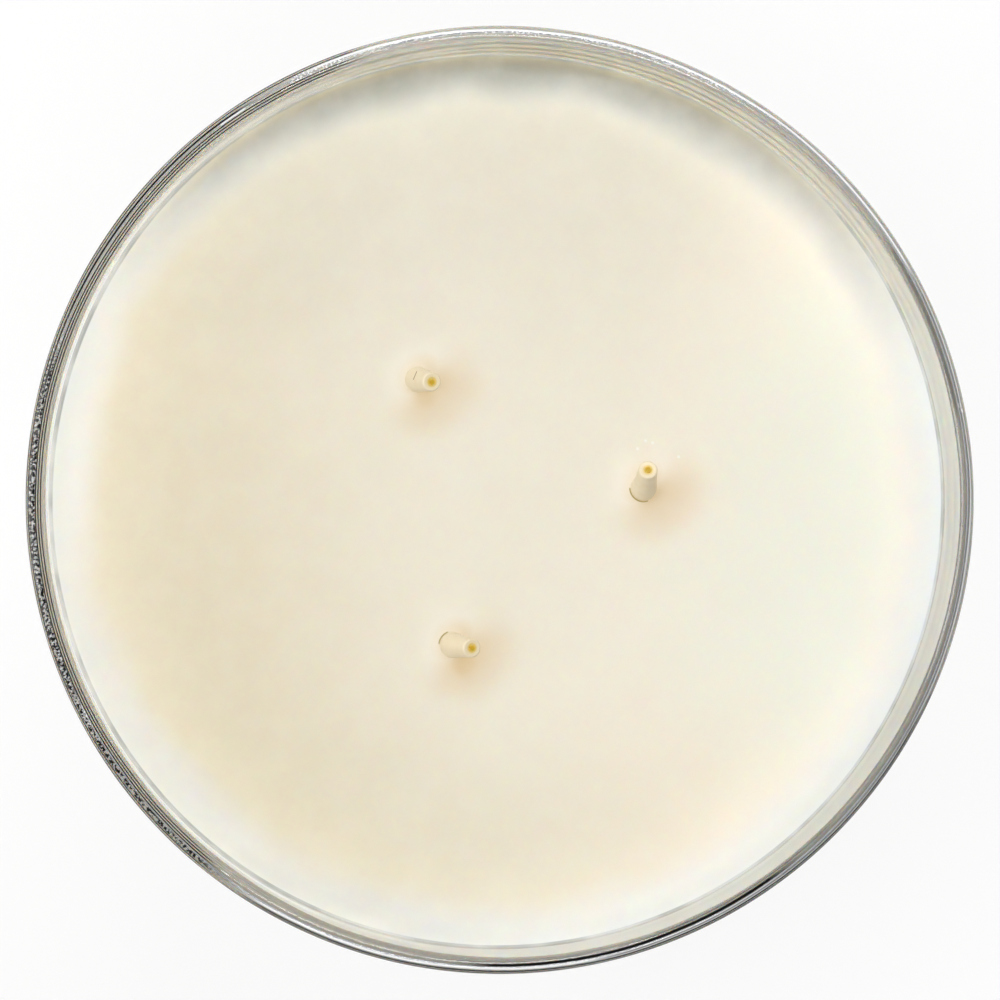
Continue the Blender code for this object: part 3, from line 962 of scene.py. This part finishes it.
def pocketCutter(index):
    # the room of a coated wick, its sustainer and its sticker, with a crack on one side of the wick
    base = jar["floorHeight"]
    bore = wick["coatRadius"] - wax["grip"]
    outline = [(0.0, surface + 0.002), (bore, surface + 0.002), (bore, surface - 0.002)]
    outline.append((bore, base + wick["coatBottom"]))
    outline += [(radius, base + height) for radius, height in wax["footRoom"]]
    cutter = flatten(turn("pocket", outline, 96))
    crack = math.radians(wax["crackDirections"][index])
    for vertex in cutter.data.vertices:
        radius = math.hypot(vertex.co.x, vertex.co.y)
        if vertex.co.z > surface - 0.001 and radius > 0.0005:
            facingCrack = math.cos(math.atan2(vertex.co.y, vertex.co.x) - crack)
            pushIn(vertex, -wax["crackWidths"][index] * smooth((facingCrack - 0.55) / 0.45))
    cutter.data.transform(Matrix.Translation(root(index)))
    return cutter


def cutPockets(piece):
    cutters = [pocketCutter(index) for index in range(3)]
    for cutter in cutters:
        boolean = piece.modifiers.new("pocket", "BOOLEAN")
        boolean.operation = "DIFFERENCE"
        boolean.object = cutter
    return cutters


def sideShare(tree, flat, azimuth):
    # grows from 0 at the middle to 1 at the edge on one side
    return fade(tree, vector(tree, "DOT_PRODUCT", flat, heading(azimuth)), 0.002, 0.040)


def wickShadow(tree, flat, wander, spot):
    # the painted warm shadow round a wick, widest to its lower right, and how far light runs into the wax
    # there
    away = vector(tree, "SUBTRACT", flat, spot + Vector((wax["shadowShift"], 0.0, 0.0)))
    distance = plus(tree, vector(tree, "LENGTH", away), times(tree, wander, 0.2))
    reach, share, azimuth, low, high = wax["wideShadow"]
    wide = times(tree, fade(tree, distance, 0.0, reach, share, 0.0), facing(tree, away, azimuth, low, high))
    start, end, share = wax["closeShadow"]
    close = fade(tree, distance, start, end, share, 0.0)
    return calc(tree, "MAXIMUM", wide, close), fade(tree, distance, *wax["clearRoom"])


def sideShade(tree, reach, flat, row):
    start, end, share, azimuth, low, high = row
    return times(tree, fade(tree, reach, start, end, 0.0, share), facing(tree, flat, azimuth, low, high))


def waxFinish():
    finish, tree, shader, place = newFinish("cream_wax", 0.42, 1.44, Subsurface_Scale=0.0040,
                                            Subsurface_Radius=(1.0, 0.70, 0.38))
    flat, height = plan(tree, place)
    radius = vector(tree, "LENGTH", flat)
    wander = drift(tree, place, 70.0, 2.0, 0.004)
    reach = plus(tree, radius, wander)
    upper = fade(tree, height, surface - 0.030, surface - 0.001)
    top = fade(tree, height, surface - 0.0010, surface - 0.0002)
    # painted light and shade: the top lighter towards the right, warmer and darker towards the left
    right = times(tree, sideShare(tree, flat, 345), upper)
    left = times(tree, sideShare(tree, flat, 190), upper)
    # painted light: a cooler tone at the edge of the top, for light that comes in through the glass
    edge = times(tree, fade(tree, reach, *wax["edge"]), top)
    # painted shade: the front of the top darker
    front = sideShade(tree, reach, flat, wax["front"])
    # painted shade: a dark crescent along the back wall, and softer shade along the lower edge
    shade = sideShade(tree, radius, flat, wax["outer"])
    for name in ("slow", "steep", "low"):
        shade = plus(tree, shade, sideShade(tree, reach, flat, wax[name]))
    # painted shade: a grey line where the wax meets the glass
    rim = fade(tree, radius, *wax["rim"])
    rim = times(tree, rim, fade(tree, grain(tree, place, 180.0, 2.0), 0.35, 0.65, 0.35, 0.85))
    rim = times(tree, rim, fade(tree, height, surface, surface + 0.0004))
    color = wax["color"]
    shares = {"right": right, "left": left, "front": times(tree, front, top), "edge": edge,
              "shade": times(tree, shade, top), "line": rim}
    for name, share in shares.items():
        color = blend(tree, share, color, wax[name + "Color"])
    opaque = minus(tree, 1.0, rim)
    # painted warm shadow round each wick
    for index in range(3):
        halo, clear = wickShadow(tree, flat, wander, root(index))
        color = blend(tree, times(tree, halo, top), color, wax["haloColor"])
        opaque = times(tree, clear, opaque)
    # painted shadow spots under two wicks
    for x, y, size, share in wax["shadowSpots"]:
        spot = fade(tree, vector(tree, "DISTANCE", flat, (x, y, 0.0)), size * 0.3, size, share, 0.0)
        color = blend(tree, times(tree, spot, top), color, wax["haloColor"])
    # painted shade in the gaps at the roots of two wicks
    for index, azimuth, halfSpan in wax["crevices"]:
        away = vector(tree, "SUBTRACT", flat, root(index))
        lineRadius = wick["coatRadius"] + wax["creviceOffset"]
        off = calc(tree, "ABSOLUTE", minus(tree, vector(tree, "LENGTH", away), lineRadius))
        span = [math.cos(math.radians(angle)) for angle in (halfSpan + 8, halfSpan)]
        line = fade(tree, off, *wax["creviceWidth"], 1.0, 0.0)
        line = times(tree, line, facing(tree, away, azimuth, *span))
        color = blend(tree, times(tree, line, top), color, wax["creviceShadeColor"])
    mottle = fade(tree, grain(tree, place, 320.0, 3.0), 0.35, 0.7, 0.0, 0.10)
    color = blend(tree, mottle, color, wax["mottleColor"])
    # painted highlights: glints on tiny pits in the top
    for x, y in wax["glints"]:
        glint = fade(tree, vector(tree, "DISTANCE", flat, (x, y, 0.0)), *wax["glintSize"], 0.8, 0.0)
        color = blend(tree, times(tree, glint, top), color, wax["glintColor"])
    rough = fade(tree, grain(tree, place, 150.0, 3.0), 0.3, 0.7, 0.34, 0.52)
    feed(tree, shader, Base_Color=color, Subsurface_Weight=opaque, Roughness=rough)
    addBump(tree, shader, grain(tree, place, 500.0, 3.0), 0.10, 0.00010)
    return finish


creamWax = waxFinish()
fill = flatten(turn("wax_pour", waxOutline(), wax["segments"]))
refineRoundWicks(fill)
spots = [tuple(root(index)) for index in range(3)]
runTree(fill, pourTree(), {
    "Surface": surface, "Swell": wax["swell"],
    "Collar Rise": wax["collarRise"], "Collar Width": wax["collarWidth"],
    "Wick A": spots[0], "Wick B": spots[1], "Wick C": spots[2], "Finish": creamWax})
cutters = cutPockets(fill)
fill = flatten(fill, creamWax, sharpAngle=50)
for cutter in cutters:
    bpy.data.objects.remove(cutter)
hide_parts("wax_fill")
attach(fill, "root")
print("wax:", len(fill.data.polygons), "faces")


# Sustainers and stickers, which show through the glass floor

sustainer = {
    "radius": 0.0100,
    "sheet": 0.00025,
    "bottom": 0.0014,           # over the glass floor
    "neckHeight": 0.0060,
    "neckRadius": 0.00147,
    "fillet": 0.0009,
    "beadRadius": 0.0064,
    "beadWidth": 0.0016,
    "beadHeight": 0.00035,
    "crimps": 4,
    "crimpDepth": 0.00030,
    "crimpMargin": 0.0011,
    "segments": 144,
    "paleTin": (0.72, 0.72, 0.70),
    "darkTin": (0.60, 0.60, 0.59),
}
sticker = {
    "radius": 0.0090,
    "bottom": 0.00002,
    "top": 0.00138,
    "bulge": 0.00022,
    "segments": 192,
    "poreDepth": 0.00005,
    "paleFoam": (0.92, 0.92, 0.90),
    "darkFoam": (0.80, 0.80, 0.77),
}


def sheetFace(drop):
    # one face of the sheet from the top of the neck to the edge of the disc, drop under the upper one
    discTop = sustainer["bottom"] + sustainer["sheet"]
    neck = sustainer["neckRadius"] - drop
    center = (sustainer["neckRadius"] + sustainer["fillet"], discTop + sustainer["fillet"])
    face = [(neck, sustainer["bottom"] + sustainer["neckHeight"])]
    curve = arc(center, sustainer["fillet"] + drop, 180, 270, 10)
    face += between(face[0], curve[0], 28) + curve
    for step in range(17):
        share = step / 16
        face.append((sustainer["beadRadius"] + sustainer["beadWidth"] * (share - 0.5),
                     discTop - drop + sustainer["beadHeight"] * math.sin(math.pi * share)))
    face.append((sustainer["radius"] - sustainer["sheet"] / 2, discTop - drop))
    return face


def sustainerPiece(name, index):
    sheet = sustainer["sheet"]
    edge = arc((sustainer["radius"] - sheet / 2, sustainer["bottom"] + sheet / 2), sheet / 2, 90, -90, 6)
    upper, lower = sheetFace(0.0), sheetFace(sheet)
    outline = upper[:-1] + edge + list(reversed(lower[:-1])) + [upper[0]]
    piece = flatten(turn(name, outline, sustainer["segments"]), tinPlate, sharpAngle=40)
    top = sustainer["bottom"] + sustainer["neckHeight"] - sustainer["crimpMargin"]
    bottom = sustainer["bottom"] + sheet + sustainer["fillet"] + sustainer["crimpMargin"]
    for vertex in piece.data.vertices:
        radius = math.hypot(vertex.co.x, vertex.co.y)
        reach = abs(vertex.co.z - (top + bottom) / 2) / ((top - bottom) / 2)
        if reach < 1 and radius < sustainer["neckRadius"] + 0.0001:
            turned = math.cos(sustainer["crimps"] * math.atan2(vertex.co.y, vertex.co.x))
            pushIn(vertex, sustainer["crimpDepth"] * max(0.0, turned) * math.cos(math.pi / 2 * reach))
    piece.data.transform(seat(index))
    return piece


def stickerPiece(name, index):
    # a foam disc pressed flat between the floor and the sustainer, so that its edge bulges
    height = sticker["top"] - sticker["bottom"]
    outline = [(0.0, sticker["top"]), (sticker["radius"] - 0.0001, sticker["top"])]
    for step in range(1, 12):
        share = step / 12
        radius = sticker["radius"] + sticker["bulge"] * math.sin(math.pi * share)
        outline.append((radius, sticker["top"] - height * share))
    outline += [(sticker["radius"] - 0.0001, sticker["bottom"]), (0.0, sticker["bottom"])]
    piece = flatten(turn(name, outline, sticker["segments"]), stickerFoam, sharpAngle=50)
    for vertex in piece.data.vertices:
        if math.hypot(vertex.co.x, vertex.co.y) > sticker["radius"] - 0.00005:
            pore = noise.noise(vertex.co * 2400.0 + Vector((index * 5.3, 0.0, 0.0)))
            pushIn(vertex, -sticker["poreDepth"] * pore)
    piece.data.transform(seat(index))
    return piece


def tinFinish():
    finish, tree, shader, place = newFinish("tin_plate", 0.28, 1.5, Metallic=1.0)
    spangle = grain(tree, place, 900.0, 3.0)
    feed(tree, shader, Base_Color=blend(tree, spangle, sustainer["paleTin"], sustainer["darkTin"]),
         Roughness=fade(tree, spangle, 0.3, 0.7, 0.2, 0.4))
    return finish


def foamFinish():
    finish, tree, shader, place = newFinish("sticker_foam", 0.85)
    pores = addNode(tree, "ShaderNodeTexVoronoi", {"Vector": place, "Scale": 3000.0}).outputs["Distance"]
    feed(tree, shader, Base_Color=blend(tree, pores, sticker["darkFoam"], sticker["paleFoam"]))
    addBump(tree, shader, pores, 0.5, 0.00008)
    return finish


tinPlate = tinFinish()
stickerFoam = foamFinish()
for index in range(3):
    label = "wick_" + str(index + 1)
    for piece, node, slot in ((sustainerPiece("sustainer_" + label, index), "_sustainer", "tin_plate"),
                              (stickerPiece("sticker_" + label, index), "_sticker", "sticker_foam")):
        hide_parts(label + node)
        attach(piece, "root")
print("sustainers and stickers placed")
